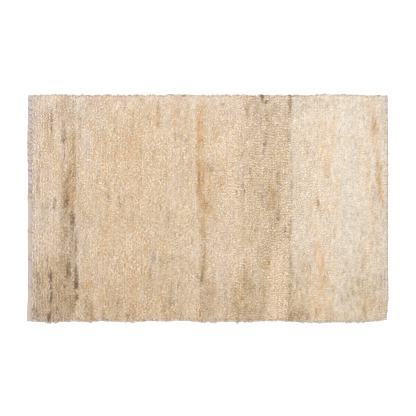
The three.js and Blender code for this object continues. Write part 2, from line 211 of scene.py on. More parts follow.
# Streaks and patches of other wool and of wear. Each runs from x_top at its top to x_foot at its foot.
STREAK_COLUMNS = ("tone", "x_top", "x_foot", "breadth", "top", "foot", "strength")
STREAKS = [
    # The left end, and the dark band beside it
    ("ash", -1190, -1190, 90, 775, 130, 0.62),
    ("khaki", -1110, -1110, 70, 40, -110, 0.14),
    ("umber", -1110, -1110, 60, 40, -110, 0.07),
    ("khaki", -1000, -1000, 28, 210, 40, 0.28),
    ("khaki", -868, -866, 40, 120, -50, 0.28),
    ("honey", -868, -866, 40, 120, -50, 0.24),
    ("umber", -1020, -1020, 60, -690, -755, 0.30),
    ("umber", -1155, -1155, 30, -700, -755, 0.30),
    ("honey", -1075, -1075, 80, 690, 330, 0.24),
    ("umber", -1054, -1052, 8, 640, 445, 0.45),
    ("umber", -1088, -1086, 8, 600, 440, 0.26),
    ("umber", -1075, -1072, 8, 480, 380, 0.30),
    ("honey", -1024, -1020, 18, 345, 210, 0.35),
    ("umber", -1148, -1146, 9, 260, 80, 0.42),
    ("umber", -1036, -1038, 9, 65, -20, 0.50),
    ("umber", -1190, -1188, 12, 90, -60, 0.24),
    ("khaki", -946, -948, 96, 775, 560, 0.44),
    ("khaki", -950, -945, 104, 560, 260, 0.24),
    ("umber", -978, -974, 12, 610, 480, 0.34),
    ("umber", -974, -972, 16, 505, 425, 0.60),
    ("umber", -970, -968, 9, 420, 320, 0.30),
    ("honey", -907, -905, 16, 575, 160, 0.35),
    ("umber", -907, -905, 8, 575, 190, 0.30),
    ("umber", -868, -866, 8, 640, 470, 0.25),
    ("khaki", -945, -942, 106, 300, -755, 0.42),
    ("honey", -950, -942, 104, 300, 20, 0.42),
    ("umber", -962, -956, 50, 240, 40, 0.14),
    ("umber", -934, -934, 12, 290, 200, 0.42),
    ("umber", -964, -958, 24, 200, 60, 0.38),
    ("umber", -954, -951, 18, 78, -40, 0.62),
    ("umber", -917, -917, 32, -15, -125, 0.56),
    ("umber", -950, -950, 20, -40, -80, 0.35),
    ("umber", -988, -986, 18, -30, -175, 0.36),
    ("umber", -942, -940, 108, -80, -380, 0.13),
    ("ash", -958, -952, 70, -120, -300, 0.22),
    ("umber", -893, -893, 12, -150, -400, 0.44),
    ("umber", -948, -946, 28, -365, -480, 0.58),
    ("umber", -890, -890, 13, -340, -460, 0.50),
    ("umber", -890, -892, 18, -455, -540, 1.35),
    ("umber", -892, -892, 18, -576, -622, 1.20),
    ("khaki", -975, -985, 150, -330, -755, 0.48),
    ("honey", -1000, -1000, 150, -330, -755, 0.36),
    ("honey", -1008, -1008, 40, -470, -600, 0.55),
    ("umber", -1008, -1008, 36, -470, -590, 0.16),
    ("umber", -960, -960, 120, -540, -755, 0.20),
    ("umber", -1068, -1062, 20, -424, -496, 1.40),
    ("umber", -1060, -1058, 10, -480, -620, 1.10),
    ("umber", -1064, -1066, 9, -600, -695, 1.05),
    ("umber", -1070, -1070, 22, -690, -750, 1.35),
    ("khaki", -1120, -1120, 140, -360, -755, 0.42),
    ("honey", -1130, -1130, 110, -380, -740, 0.40),
    ("umber", -1150, -1148, 14, -430, -545, 0.42),
    ("umber", -1110, -1110, 90, -560, -755, 0.10),
    ("umber", -1165, -1165, 50, -680, -755, 0.26),
    ("ash", -1175, -1175, 60, -600, -755, 0.20),
    # The sand ground up to the golden streak
    ("ash", -800, -800, 110, 775, 640, 0.34),
    ("honey", -505, -500, 70, 310, 200, 0.24),
    ("cream", -260, -260, 150, -290, -390, 0.34),
    ("cream", -843, -843, 30, 640, 380, 0.50),
    ("khaki", -845, -850, 60, 120, -330, 0.16),
    ("ash", -812, -812, 28, 670, 590, 0.36),
    ("cream", -800, -780, 100, 560, 260, 0.30),
    ("khaki", -852, -854, 20, 100, -60, 0.25),
    ("umber", -668, -672, 14, 170, 50, 0.28),
    ("honey", -625, -618, 24, 400, 320, 0.40),
    ("umber", -155, -150, 30, 478, 440, 0.14),
    ("ash", -155, -150, 40, 490, 430, 0.35),
    ("honey", -512, -506, 44, 600, 480, 0.24),
    ("khaki", -506, -506, 40, 600, 480, 0.14),
    ("honey", -488, -486, 28, 470, 380, 0.38),
    ("honey", -540, -546, 40, 540, 210, 0.28),
    ("honey", -470, -470, 40, 330, 60, 0.22),
    ("honey", -334, -338, 36, 710, 540, 0.42),
    ("umber", -332, -338, 14, 660, 550, 0.30),
    ("honey", -400, -390, 36, 700, 560, 0.28),
    ("honey", -222, -220, 50, 740, 600, 0.30),
    ("honey", -175, -170, 24, 680, 600, 0.25),
    ("ash", -420, -400, 100, 470, 200, 0.16),
    ("umber", -596, -592, 12, 90, 20, 0.28),
    ("honey", -700, -690, 70, -170, -390, 0.18),
    ("umber", -268, -266, 14, 0, -120, 0.24),
    ("honey", -305, -305, 60, -200, -330, 0.22),
    ("khaki", -310, -290, 60, -290, -480, 0.28),
    ("honey", -420, -410, 50, -180, -330, 0.25),
    ("ash", -370, -370, 28, -295, -370, 0.60),
    ("umber", -370, -370, 20, -300, -360, 0.20),
    ("khaki", -390, -386, 24, -400, -490, 0.50),
    ("honey", -810, -800, 90, -480, -755, 0.38),
    ("umber", -822, -818, 22, -620, -755, 0.35),
    ("umber", -788, -786, 20, -650, -745, 0.40),
    ("umber", -709, -709, 13, -690, -748, 0.36),
    ("umber", -540, -540, 22, -700, -752, 0.36),
    ("ash", -716, -712, 34, -590, -755, 0.25),
    ("umber", -612, -610, 16, -600, -745, 0.38),
    ("khaki", -650, -650, 70, -520, -755, 0.22),
    ("honey", -530, -520, 90, -420, -755, 0.30),
    ("honey", -515, -512, 24, -480, -620, 0.40),
    ("umber", -500, -500, 12, -640, -750, 0.30),
    ("khaki", -400, -380, 70, -450, -620, 0.22),
    ("umber", -262, -264, 18, -600, -700, 0.30),
    ("umber", -300, -302, 14, -620, -725, 0.26),
    ("honey", -290, -290, 40, -560, -740, 0.45),
    ("khaki", -245, -242, 26, -510, -660, 0.45),
    ("umber", -186, -182, 12, -660, -750, 0.28),
    # The golden streak
    ("honey", 22, 26, 70, 200, -60, 0.32),
    ("khaki", 22, 26, 60, 200, -60, 0.10),
    ("honey", -48, -46, 52, 680, 455, 0.70),
    ("honey", -32, -32, 20, 600, 470, 0.45),
    ("khaki", -52, -50, 36, 620, 420, 0.18),
    ("honey", -48, -48, 50, 480, 350, 0.66),
    ("honey", -48, -46, 60, 370, 70, 0.80),
    ("umber", -60, -58, 14, 350, 80, 0.18),
    ("khaki", -48, -48, 44, 300, -60, 0.22),
    ("honey", 2, 6, 50, 340, 60, 0.28),
    ("umber", 4, 6, 20, 330, 230, 0.14),
    ("honey", -26, -24, 66, 100, -55, 0.58),
    ("umber", -20, -14, 14, 60, -40, 0.20),
    ("honey", -30, -30, 46, -50, -230, 0.54),
    ("khaki", -32, -30, 36, -60, -370, 0.22),
    ("umber", -24, -26, 10, -190, -350, 0.26),
    ("khaki", -34, -32, 36, -350, -500, 0.44),
    ("honey", -30, -30, 40, -220, -500, 0.30),
    ("umber", -32, -30, 22, -360, -495, 0.16),
    ("umber", -43, -42, 13, -445, -500, 1.40),
    ("umber", 16, 26, 70, -500, -755, 0.08),
    ("honey", 14, 20, 60, -480, -720, 0.34),
    ("khaki", 0, 16, 90, -490, -755, 0.28),
    # Between the golden streak and the khaki band
    ("ash", 100, 100, 70, -370, -530, 0.32),
    ("honey", 40, 44, 30, 580, 390, 0.36),
    ("honey", 82, 90, 26, 700, 560, 0.22),
    ("honey", 90, 86, 60, 330, 60, 0.25),
    ("ash", 116, 118, 28, -350, -755, 0.50),
    ("ash", 126, 126, 26, -130, -215, 0.42),
    ("ash", 40, 40, 14, -310, -430, 0.32),
    ("cream", 70, 60, 60, -180, -330, 0.40),
    ("cream", 76, 72, 44, -370, -540, 0.50),
    ("umber", 184, 186, 14, -600, -680, 0.20),
    ("honey", 182, 184, 80, -460, -750, 0.36),
    # The khaki band
    ("umber", 395, 400, 44, -195, -290, 0.12),
    ("khaki", 394, 392, 296, 775, 560, 0.24),
    ("khaki", 390, 386, 316, 640, -250, 0.22),
    ("honey", 268, 270, 18, 760, 600, 0.36),
    ("umber", 268, 270, 13, 720, 600, 0.28),
    ("honey", 318, 322, 40, 770, 640, 0.24),
    ("umber", 330, 345, 60, 760, 560, 0.14),
    ("umber", 371, 373, 15, 785, 712, 1.05),
    ("umber", 390, 400, 26, 700, 600, 0.24),
    ("khaki", 386, 400, 40, 740, 600, 0.30),
    ("umber", 358, 358, 12, 620, 560, 0.24),
    ("ash", 400, 392, 30, 580, 400, 0.26),
    ("umber", 404, 390, 14, 570, 420, 0.30),
    ("khaki", 455, 452, 70, 770, 470, 0.24),
    ("umber", 450, 452, 12, 740, 620, 0.22),
    ("khaki", 424, 424, 60, 400, 180, 0.22),
    ("umber", 476, 478, 20, 330, 150, 0.22),
    ("honey", 480, 476, 26, 240, 110, 0.34),
    ("honey", 440, 424, 80, 190, -60, 0.24),
    ("khaki", 450, 440, 100, 190, -90, 0.42),
    ("umber", 448, 446, 40, 110, 60, 0.22),
    ("umber", 470, 464, 30, -20, -110, 0.24),
    ("umber", 366, 368, 12, 110, 20, 0.56),
    ("ash", 366, 368, 16, 150, 20, 0.30),
    ("honey", 292, 296, 60, 220, 120, 0.26),
    ("umber", 290, 292, 10, 210, 150, 0.26),
    ("umber", 242, 242, 10, 330, -250, 0.22),
    ("khaki", 414, 404, 60, 20, -280, 0.22),
    ("khaki", 526, 530, 60, 775, 580, 0.28),
    ("umber", 554, 556, 16, 780, 668, 0.66),
    ("khaki", 556, 554, 24, 780, 640, 0.45),
    ("umber", 544, 544, 14, 520, 445, 0.46),
    ("ash", 546, 546, 20, 560, 400, 0.24),
    ("umber", 566, 567, 7, 400, 60, 0.34),
    ("khaki", 560, 558, 18, 200, -220, 0.30),
    ("umber", 562, 554, 12, -60, -190, 0.18),
    ("umber", 520, 545, 24, -150, -250, 0.08),
    ("cream", 600, 606, 44, 700, -300, 0.50),
    # Under the khaki band: a brown patch, a peach tongue and the worn corner beside it
    ("khaki", 362, 366, 60, -230, -640, 0.36),
    ("khaki", 284, 266, 120, -390, -620, 0.26),
    ("khaki", 296, 286, 200, -520, -760, 0.34),
    ("umber", 250, 246, 26, -420, -490, 0.10),
    ("honey", 262, 256, 90, -400, -740, 0.26),
    ("umber", 290, 272, 60, -480, -620, 0.12),
    ("umber", 288, 282, 190, -660, -760, 0.16),
    ("honey", 430, 390, 34, -290, -440, 0.46),
    ("umber", 424, 400, 12, -320, -420, 0.18),
    ("peach", 492, 484, 46, -236, -430, 0.72),
    ("peach", 486, 466, 104, -370, -755, 0.64),
    ("umber", 556, 558, 16, -310, -440, 0.22),
    ("khaki", 566, 560, 36, -290, -480, 0.32),
    ("khaki", 592, 592, 110, -440, -755, 0.34),
    ("honey", 600, 600, 130, -440, -755, 0.12),
    ("khaki", 668, 664, 90, -330, -755, 0.32),
    ("umber", 552, 546, 18, -560, -755, 0.26),
    ("umber", 550, 552, 34, -710, -760, 0.20),
    ("umber", 598, 600, 140, -690, -760, 0.34),
    ("honey", 610, 612, 120, -680, -758, 0.44),
    # The cream right end
    ("umber", 830, 830, 80, -690, -760, 0.14),
    ("honey", 752, 752, 34, -530, -640, 0.26),
    ("honey", 756, 760, 80, -190, -400, 0.34),
    ("honey", 780, 786, 40, -400, -610, 0.40),
    ("umber", 790, 792, 9, -460, -510, 0.28),
    ("honey", 744, 738, 64, -400, -745, 0.38),
    ("honey", 735, 738, 24, -650, -745, 0.40),
    ("umber", 738, 738, 14, -690, -740, 0.24),
    ("honey", 724, 754, 20, 116, 5, 0.56),
    ("umber", 740, 756, 11, 60, 0, 0.50),
    ("honey", 806, 808, 40, 340, 190, 0.34),
    ("khaki", 806, 808, 30, 340, 190, 0.14),
    ("honey", 762, 768, 28, 620, 540, 0.24),
    ("honey", 820, 822, 24, 570, 500, 0.30),
    ("honey", 852, 850, 50, 0, -56, 0.26),
    ("khaki", 828, 830, 20, 470, 320, 0.18),
    ("khaki", 1015, 1018, 14, 4, -60, 0.40),
    ("umber", 1015, 1018, 8, 0, -50, 0.12),
    ("honey", 1116, 1130, 26, 655, 500, 0.56),
    ("khaki", 1116, 1130, 24, 640, 500, 0.34),
    ("honey", 1132, 1146, 24, 510, 350, 0.56),
    ("honey", 1150, 1162, 26, 355, 210, 0.66),
    ("khaki", 1146, 1166, 28, 400, 60, 0.40),
    ("umber", 1170, 1172, 9, 310, 250, 0.26),
    ("honey", 1160, 1170, 32, 230, 60, 0.72),
    ("umber", 1160, 1170, 12, 220, 70, 0.28),
    ("honey", 1178, 1184, 16, 80, -10, 0.44),
    ("khaki", 1110, 1120, 200, 775, 680, 0.22),
    ("khaki", 1090, 1090, 60, 700, 600, 0.20),
    ("khaki", 850, 850, 560, 790, 680, 0.24),
    ("khaki", 652, 652, 90, 775, 640, 0.18),
    ("umber", 644, 650, 8, 760, 640, 0.24),
    ("honey", 1082, 1082, 28, 330, 150, 0.26),
    ("honey", 1088, 1090, 50, -170, -250, 0.14),
    ("umber", 1042, 1044, 14, -350, -450, 0.34),
    ("khaki", 1048, 1054, 44, -640, -755, 0.50),
    ("umber", 1056, 1058, 16, -660, -755, 0.26),
    ("khaki", 1180, 1186, 60, -310, -755, 0.28),
    ("ash", 1200, 1205, 40, -200, -755, 0.40),
    ("umber", 838, 850, 9, -512, -560, 0.42),
    ("ash", 896, 904, 18, -540, -655, 0.60),
    ("umber", 896, 904, 8, -575, -635, 0.34),
    ("khaki", 826, 822, 44, -640, -755, 0.36),
    ("ash", 960, 960, 180, -480, -755, 0.14),
    ("khaki", 1040, 1050, 330, -240, -770, 0.18),
    ("honey", 1040, 1050, 330, -340, -770, 0.10),
    ("khaki", 1060, 1060, 280, -430, -770, 0.40),
    # Fainter washes over several of these
    ("honey", -46, -44, 50, 700, 300, 0.28),
    ("honey", -50, -48, 44, 360, 60, 0.24),
    ("honey", -34, -34, 50, 0, -210, 0.26),
    ("khaki", -965, -962, 50, 340, 200, 0.24),
    ("honey", -918, -922, 60, 350, 70, 0.34),
    ("umber", -972, -970, 22, 600, 425, 0.34),
    ("honey", -504, -490, 90, 620, 330, 0.24),
    ("honey", -345, -345, 50, 745, 540, 0.22),
    ("honey", -225, -220, 90, 720, 600, 0.12),
    ("khaki", 484, 478, 60, 190, -70, 0.24),
    ("honey", 236, 226, 150, -430, -750, 0.22),
    ("khaki", 206, 196, 90, -500, -750, 0.18),
    ("honey", 1114, 1136, 30, 665, 430, 0.40),
    ("honey", 1136, 1160, 26, 450, 260, 0.30),
    ("khaki", 1130, 1140, 130, 780, 560, 0.40),
    ("umber", 1122, 1130, 24, 640, 480, 0.22),
    ("khaki", -28, -24, 60, -530, -755, 0.30),
    ("umber", -26, -26, 40, -530, -755, 0.12),
    ("khaki", 1150, 1160, 110, 150, -290, 0.26),
    ("honey", -1000, -1000, 60, -250, -755, 0.12),
]
DARK_FLECKS = [  # x, y, size, strength
    (394, 724, 11, 0.95),
    (259, 670, 11, 0.90),
    (381, 430, 10, 1.00),
    (99, 707, 9, 0.90),
    (-165, 762, 9, 0.80),
]

draw = np.random.default_rng(SEED)


# Shapes and places

def lattice_noise(x, y, size_x, size_y, seed):
    """Smooth random values from -1 to 1 that change over the given sizes."""
    cells, start = 96, 1000.5
    lattice = np.random.default_rng(seed).uniform(-1, 1, (cells, cells))
    u = np.asarray(x) / size_x + start
    v = np.asarray(y) / size_y + start
    column, row = np.floor(u).astype(int), np.floor(v).astype(int)
    ease_u, ease_v = (part * part * (3 - 2 * part) for part in (u - column, v - row))
    near, far = (
        lattice[(column + i) % cells, row % cells] * (1 - ease_v)
        + lattice[(column + i) % cells, (row + 1) % cells] * ease_v
        for i in (0, 1)
    )
    return near * (1 - ease_u) + far * ease_u


def noise(name, x, y, number=0):
    strength, size_x, size_y, seed = NOISES[name]
    return strength * lattice_noise(x, y, size_x, size_y, seed + number)


def row_noise(name, row, y, number=0):
    strength, length, seed, step = ROW_NOISES[name]
    return strength * lattice_noise(row * step, y, 1, length, seed + number)


def read_table(table, column, at):
    """A table's column at places along the rug, from one of its values to the next."""
    return np.interp(at, table["x"], table[column])


def mesh_places(mesh):
    """The mesh's points in millimetres."""
    places = np.empty(len(mesh.vertices) * 3)
    mesh.vertices.foreach_get("co", places)
    return places.reshape(-1, 3) / MM


class Solid:
    """The rug's own solid: its outline on the floor and the height of its pile."""

    def __init__(self, name):
        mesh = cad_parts[name].data
        self.points = mesh_places(mesh)
        faces = [tuple(face.vertices) for face in mesh.polygons]
        self.tree = BVHTree.FromPolygons([tuple(p) for p in self.points], faces)
        rim = np.unique(self.points[self.points[:, 2] < 0.01].round(2), axis=0)
        between_ends = np.abs(rim[:, 0]) < RUG_LENGTH / 2 - CORNER[0]
        between_sides = np.abs(rim[:, 1]) < RUG_WIDTH / 2 - CORNER[1]
        self.front = self.edge(rim[between_ends & (rim[:, 1] < 0)], 0)
        self.back = self.edge(rim[between_ends & (rim[:, 1] > 0)], 0)
        self.left = self.edge(rim[between_sides & (rim[:, 0] < 0)], 1)
        self.right = self.edge(rim[between_sides & (rim[:, 0] > 0)], 1)
        self.long_sides = ((self.front, -1), (self.back, 1))  # each with the way it faces

    @staticmethod
    def edge(points, along):
        ordered = points[np.argsort(points[:, along])]
        return ordered[:, along], ordered[:, 1 - along]

    def height(self, x, y):
        """Height of the pile at each place, and 0 beside the rug."""
        down, start = Vector((0, 0, -1)), 100.0
        found = [self.tree.ray_cast(Vector((a, b, start)), down)[0] for a, b in zip(x, y)]
        return np.array([hit.z if hit else 0.0 for hit in found])


solid = Solid("rug")


def side_at(side, at):
    """Where an edge lies, at places along it. On a long side it is where the locks of a row end."""
    along, out = side
    return np.interp(at, along, out)


def between_row_ends(x, inset):
    """Where a row's two ends are, less an inset."""
    return side_at(solid.front, x) + inset, side_at(solid.back, x) - inset


def woven_line(side, x):
    """The ground's own edge, a little inside the ends of the locks."""
    along, out = side
    span = 2 * SELVEDGE_SPAN + 1
    smooth = np.convolve(np.pad(out, SELVEDGE_SPAN, mode="edge"), np.ones(span) / span, mode="valid")
    return np.interp(x, along, smooth)


# The chart of shades

def ragged_span(value, low, high, soft):
    """1 between low and high, and 0 outside, with soft ends."""
    rise = np.clip((value - low) / soft + 0.5, 0, 1)
    fall = np.clip((high - value) / soft + 0.5, 0, 1)
    return rise * fall


def streak_weight(x, y, streak, number):
    """How much of a streak's wool shows at each place. Its sides wander, its ends fray and it breaks up."""
    row = dict(zip(STREAK_COLUMNS, streak))
    length, half = row["top"] - row["foot"], row["breadth"] / 2 + 2
    share = (row["top"] - y) / max(length, 1)
    middle = row["x_top"] + (row["x_foot"] - row["x_top"]) * share
    weight = np.zeros(len(x))
    beside, beyond = 1.4 * half + 30, 120  # the furthest that it can reach
    reached = (np.abs(x - middle) < beside) & (y > row["foot"] - beyond) & (y < row["top"] + beyond)
    x, y, middle = x[reached], y[reached], middle[reached]
    sides, bends, ends, breaks, long_breaks = (
        noise(f"{part} of a streak", x, y, 10 * number)
        for part in ("sides", "bends", "ends", "breaks", "long breaks")
    )
    wander = sides + min(row["breadth"] / 9, 12) * bends
    across = ragged_span(x + wander, middle - half, middle + half, 8 + row["breadth"] / 4)
    fray = min(length / 4, 60) * ends
    along = ragged_span(y + fray, row["foot"], row["top"], 12 + min(length, 300) / 3)
    broken = 0.92 + breaks + long_breaks
    weight[reached] = row["strength"] * across * along * np.clip(broken, 0.15, 1.5)
    return weight


def fleck_weight(x, y, middle_x, middle_y, size, strength):
    away = np.hypot(x - middle_x, y - middle_y)
    return strength * np.clip(1.5 - away / size, 0, 1)


def shades_at(x, y):
    """The share of each tone in the wool at each place."""
    weights = {tone: np.zeros(len(x)) for tone in TONES}
    for tone in ("cream", "ash", "honey", "khaki"):
        weights[tone] += read_table(GROUND_SHADE, tone, x)
    head = np.clip((y - HEAD_START) / (RUG_WIDTH / 2 - HEAD_START), 0, 1)
    # Towards the near side the wool darkens, partly its own tone and partly painted shade of the light's
    # fall
    foot = np.clip((FOOT_START - y) / (RUG_WIDTH / 2 + FOOT_START), 0, 1)
    for reached, table in ((head, HEAD_SHADE), (foot, FOOT_TONES_AND_PAINTED_SHADE)):
        for tone, share in table.items():
            weights[tone] += reached * share
    for number, streak in enumerate(STREAKS):
        weight = streak_weight(x, y, streak, number)
        weights[streak[0]] = np.maximum(weights[streak[0]], weight)
    for fleck in DARK_FLECKS:
        weights["umber"] = np.maximum(weights["umber"], fleck_weight(x, y, *fleck))
    # Painted shade along both long rims, darker at the near one
    for side, outward in solid.long_sides:
        rim = np.clip(1 - outward * (side_at(side, x) - y) / RIM_SHADE_WIDTH, 0, 1)
        for tone, share in RIM_PAINTED_SHADE[outward].items():
            weights[tone] += share * rim
    return mottled(x, y, weights)


def mottled(x, y, weights):
    """The tones as the yarn of each row, specks of other wool and each single lock vary them."""
    row = np.round((x - FIRST_ROW) / ROW_PITCH)
    across_rows = read_table(LAY, "across", x)
    khaki = np.clip(weights["khaki"], 0, 1)
    plain = np.clip(weights["cream"] + 0.8 * weights["ash"], 0, 1)
    even = (1 - 0.5 * plain) * (1 - 0.4 * across_rows)
    for number, (tone, amount) in enumerate(YARN_SHADES.items()):
        yarn = row_noise("shades of yarn", row, y, number)
        yarn = yarn + (1 - across_rows) * noise("strands of yarn", x, y, number)
        yarn = np.clip(yarn + noise("clouds", x, y, number), 0, 2)
        weights[tone] = weights[tone] + amount * even * yarn
    for number, (tone, (level, share)) in enumerate(SPECKS.items()):
        along_row, over_rows = (noise(f"specks {way} the rows", x, y, number) for way in ("along", "over"))
        speck = np.clip((np.where(across_rows > 0.6, over_rows, along_row) - level) / 0.25, 0, 1)
        in_khaki = 1 + 2 * khaki * (tone == "umber")
        weights[tone] = weights[tone] + share * speck * (1 - 0.6 * plain) * in_khaki
    one_each = np.random.default_rng(300).uniform(0, 1, (len(TONES), len(x)))
    shades = {}
    for tone, chance in zip(TONES, one_each):
        swing = SPECKLE[tone] * (1 - 0.5 * np.clip(weights[tone], 0, 1))
        shades[tone] = np.clip(weights[tone] * (1 + swing * (3 * chance ** 2 - 1)), 0, 1)
    return shades


# Where each lock goes

def ridges(x, y):
    """Ridges over the rows: their number from the middle at each place, and their way, in degrees."""
    step = 4
    wander, before, after = (noise("wander of the ridges", x + s, y) for s in (0, -step, step))
    return y / RIDGE_PITCH + wander, -np.degrees(np.arctan((after - before) / (2 * step) * RIDGE_PITCH))


def rows_of_tufts():
    """Places of the knots, row by row."""
    row, knot = np.meshgrid(np.arange(ROWS), np.arange(TUFTS_A_ROW), indexing="ij")
    row, knot = row.ravel(), knot.ravel()
    middle = FIRST_ROW + row * ROW_PITCH
    front, back = between_row_ends(middle, KNOT_INSET)
    share = (knot + draw.uniform(0.1, 0.9, len(row))) / TUFTS_A_ROW
    y = front + (back - front) * share
    y = y + row_noise("bunching of the roots", row, y)
    closed = np.clip(0.55 + row_noise("parting of the rows", row, y), 0, 1)
    spread = PARTED_SPREAD + (read_table(LAY, "spread", middle) - PARTED_SPREAD) * closed
    x = middle + draw.uniform(-1, 1, len(row)) * spread
    y = y - RIDGE_DRAW * read_table(LAY, "across", x) * np.sin(2 * np.pi * ridges(x, y)[0])
    return row, x, y


def tuft_headings(x, y):
    """The way each tuft lies, and whether it is loose and lies across the others."""
    count = len(x)
    patch = noise("broad askew patches", x, y) + noise("small askew patches", x, y)
    heading = read_table(LAY, "heading", x) - read_table(LAY, "lean", x) * y / (RUG_WIDTH / 2)
    across = read_table(LAY, "across", x)
    heading = heading + patch * read_table(LAY, "stray", x) * (1 - 0.6 * across) + across * ridges(x, y)[1]
    heading = heading + draw.normal(0, 1, count) * read_table(LAY, "single", x)
    unruly = 0.5 + noise("broad unruly patches", x, y) + noise("small unruly patches", x, y)
    loose = draw.uniform(0, 1, count) < read_table(LAY, "loose", x) * 2 * np.clip(unruly, 0.1, 1)
    turn = draw.choice((-1, 1), count) * draw.uniform(*LOOSE["turn"], count)
    return np.radians(heading + loose * turn), loose


def tuft_relief(row, x, y):
    """How far each tuft lies below the solid's top, and how light it is: its own random lightness, with
    painted shade on the tufts in the valleys between the ridges.
    """
    drop, lightness_and_valley_shade = TUFT_DROP * draw.uniform(0, 1, len(x)) ** 2, draw.uniform(0, 1, len(x)) ** 0.6
    across = read_table(LAY, "across", x)
    strand = np.clip(0.6 + row_noise("strands of tufts", row, y), 0, 1)
    lightness_and_valley_shade = lightness_and_valley_shade + (strand - lightness_and_valley_shade) * (STRAND_SHARE * (1 - across))
    valley = across * (0.5 - 0.5 * np.cos(2 * np.pi * ridges(x, y)[0])) ** 1.5
    # The valleys between the ridges lie lower and are darkened as well: painted shade.
    return drop + RIDGE_DROP * valley, lightness_and_valley_shade * (1 - 0.8 * valley)


def lying_locks():
    row, x, y = rows_of_tufts()
    heading, loose = tuft_headings(x, y)
    drop, lightness_and_valley_shade = tuft_relief(row, x, y)
    tuft = np.repeat(np.arange(len(x)), LOCKS_A_TUFT)
    count = len(tuft)
    row, x, y, heading, loose, drop, lightness_and_valley_shade = (v[tuft] for v in (row, x, y, heading, loose, drop, lightness_and_valley_shade))
    # The locks of a tuft start beside each other and draw together towards its tip.
    ahead, aside = draw.uniform(-0.75, 0.25, count) * TUFT_LENGTH, draw.normal(0, TUFT_BREADTH, count)
    x = x + np.cos(heading) * ahead - np.sin(heading) * aside
    y = y + np.sin(heading) * ahead + np.cos(heading) * aside
    y = np.clip(y, *between_row_ends(x, ROOT_INSET))
    reach = draw.uniform(*REACH, count) * np.where(loose, LOOSE["reach"], 1.0)
    heading = heading - np.arctan2(0.5 * aside, reach) + draw.normal(0, LOCK_STRAY, count)
    tip_x, tip_y = x + np.cos(heading) * reach, y + np.sin(heading) * reach
    # Those near the rim are turned or shortened, so that they come down over the edge.
    front, back = between_row_ends(x, RIM_BAND)
    near_front, near_back = tip_y < front, tip_y > back
    near_left = tip_x < side_at(solid.left, y) + LEFT_END - 8
    near_right = tip_x > side_at(solid.right, y) - RIM_BAND
    heading = np.where(near_left, -np.pi / 2 + draw.normal(0, 0.25, count), heading)
    reach = np.where(near_right | near_back, reach * RIM_REACH, reach)
    reach = np.where(near_front, np.minimum(reach, y - side_at(solid.front, x) + 4), reach)
    reach = np.maximum(reach, LEAST_REACH)
    half_x, half_y = x + 0.5 * np.cos(heading) * reach, y + 0.5 * np.sin(heading) * reach
    height = solid.height(half_x, half_y) - drop - LOCK_DROP * draw.uniform(0, 1, count) ** 2
    top = height + 0.4 + 0.4 * loose
    lying = np.where(loose, draw.choice(LOOSE_SHAPES, count), draw.choice(LYING_SHAPES, count))
    over_edge = near_front | near_back | near_left | near_right
    shape = np.where(over_edge, draw.choice(EDGE_SHAPES, count), lying)
    return {
        "row": row,
        "x": x,
        "y": y,
        "heading": heading,
        "reach": reach,
        "crown": np.maximum(top - ROOT_HEIGHT, LEAST_CROWN),
        "breadth": draw.uniform(*BREADTH, count) * np.where(loose, LOOSE["breadth"], 1.0),
        "shape": shape,
        # The chance carries the tuft's lightness, with its painted valley shade, and the lock's own random
        # lightness.
        "chance": 0.45 * lightness_and_valley_shade + 0.55 * draw.uniform(0, 1, count) ** 0.6,
    }


def edge_locks():
    """Locks at both ends of each row, laid over the edge down to the floor."""
    parts = []
    for side, outward in solid.long_sides:
        row = np.repeat(np.arange(ROWS), EDGE_LOCKS)
        count = len(row)
        middle = FIRST_ROW + row * ROW_PITCH
        rim = side_at(side, middle)
        inset = draw.uniform(9, 26, count)
        x = middle + draw.uniform(-0.42, 0.42, count) * ROW_PITCH
        tip_x = middle + (x - middle) * 0.7 + draw.normal(0, 2.6, count)
        tip_y = rim - outward * draw.uniform(0, 1, count) ** 1.3 * 13
        parts.append(reaching_locks(row, x, rim - outward * inset, tip_x, tip_y, 5 + 0.42 * inset))
    return parts


def reaching_locks(row, x, y, tip_x, tip_y, crown):
    """Locks that leave the ground at one place and come down at another."""
    count = len(x)
    draw.integers(0, ROWS * TUFTS_A_ROW, count)  # not used, but each later draw depends on it
    return {
        "row": row,
        "x": x,
        "y": y,
        "heading": np.arctan2(tip_y - y, tip_x - x),
        "reach": np.hypot(tip_x - x, tip_y - y),
        "crown": crown * draw.uniform(0.8, 1.1, count),
        "breadth": draw.uniform(*BREADTH, count),
        "shape": draw.choice(EDGE_SHAPES, count),
        "chance": draw.uniform(0, 1, count),
    }


def hanging_locks():
    """The solid's locks over the woven ends, each as a bundle of strands that draws in to its tip."""
    tip_height = 3  # of their lowest points in the solid
    floor_tips = solid.points[np.abs(solid.points[:, 2] - tip_height) < 0.02]
    parts = []
    for end, outward in (("left", -1), ("right", 1)):
        line = outward * (RUG_LENGTH / 2 - 1) + MIDDLE[0]
        tips = floor_tips[outward * (floor_tips[:, 0] - line) > 0]
        table = [row for row in HANGING_ROOTS if row["end"] == end]
        roots = np.concatenate([np.linspace(r["start"], r["stop"], r["count"]) for r in table])
        root_x = MIDDLE[0] + outward * (RUG_LENGTH / 2 - table[0]["foot"])
        for tip_x, tip_y, _ in np.unique(tips.round(1), axis=0):
            root_y = MIDDLE[1] + roots[np.argmin(np.abs(roots + MIDDLE[1] - tip_y))]
            parts.append(strands(end, outward, (root_x, root_y), (tip_x, tip_y)))
    front_tips = floor_tips[floor_tips[:, 1] < -RUG_WIDTH / 2 - 10][:, :2]
    for tip_x, tip_y in np.unique(front_tips.round(1), axis=0):
        root = (tip_x + 6, side_at(solid.front, tip_x) + 14)
        parts.append(stray_lock(root, (tip_x, tip_y)))
    return parts


def stray_lock(root, tip):
    """A lock that has worked loose from the end of a row and lies out on the floor."""
    count = STRAY_STRANDS
    row = np.full(count, np.clip(round((tip[0] - FIRST_ROW) / ROW_PITCH), 0, ROWS - 1))
    x, y = root[0] + draw.normal(0, 3, count), root[1] + draw.normal(0, 2, count)
    tip_x, tip_y = tip[0] + draw.normal(0, 1.5, count), tip[1] + draw.uniform(0, 6, count)
    return reaching_locks(row, x, y, tip_x, tip_y, np.full(count, 9.0))


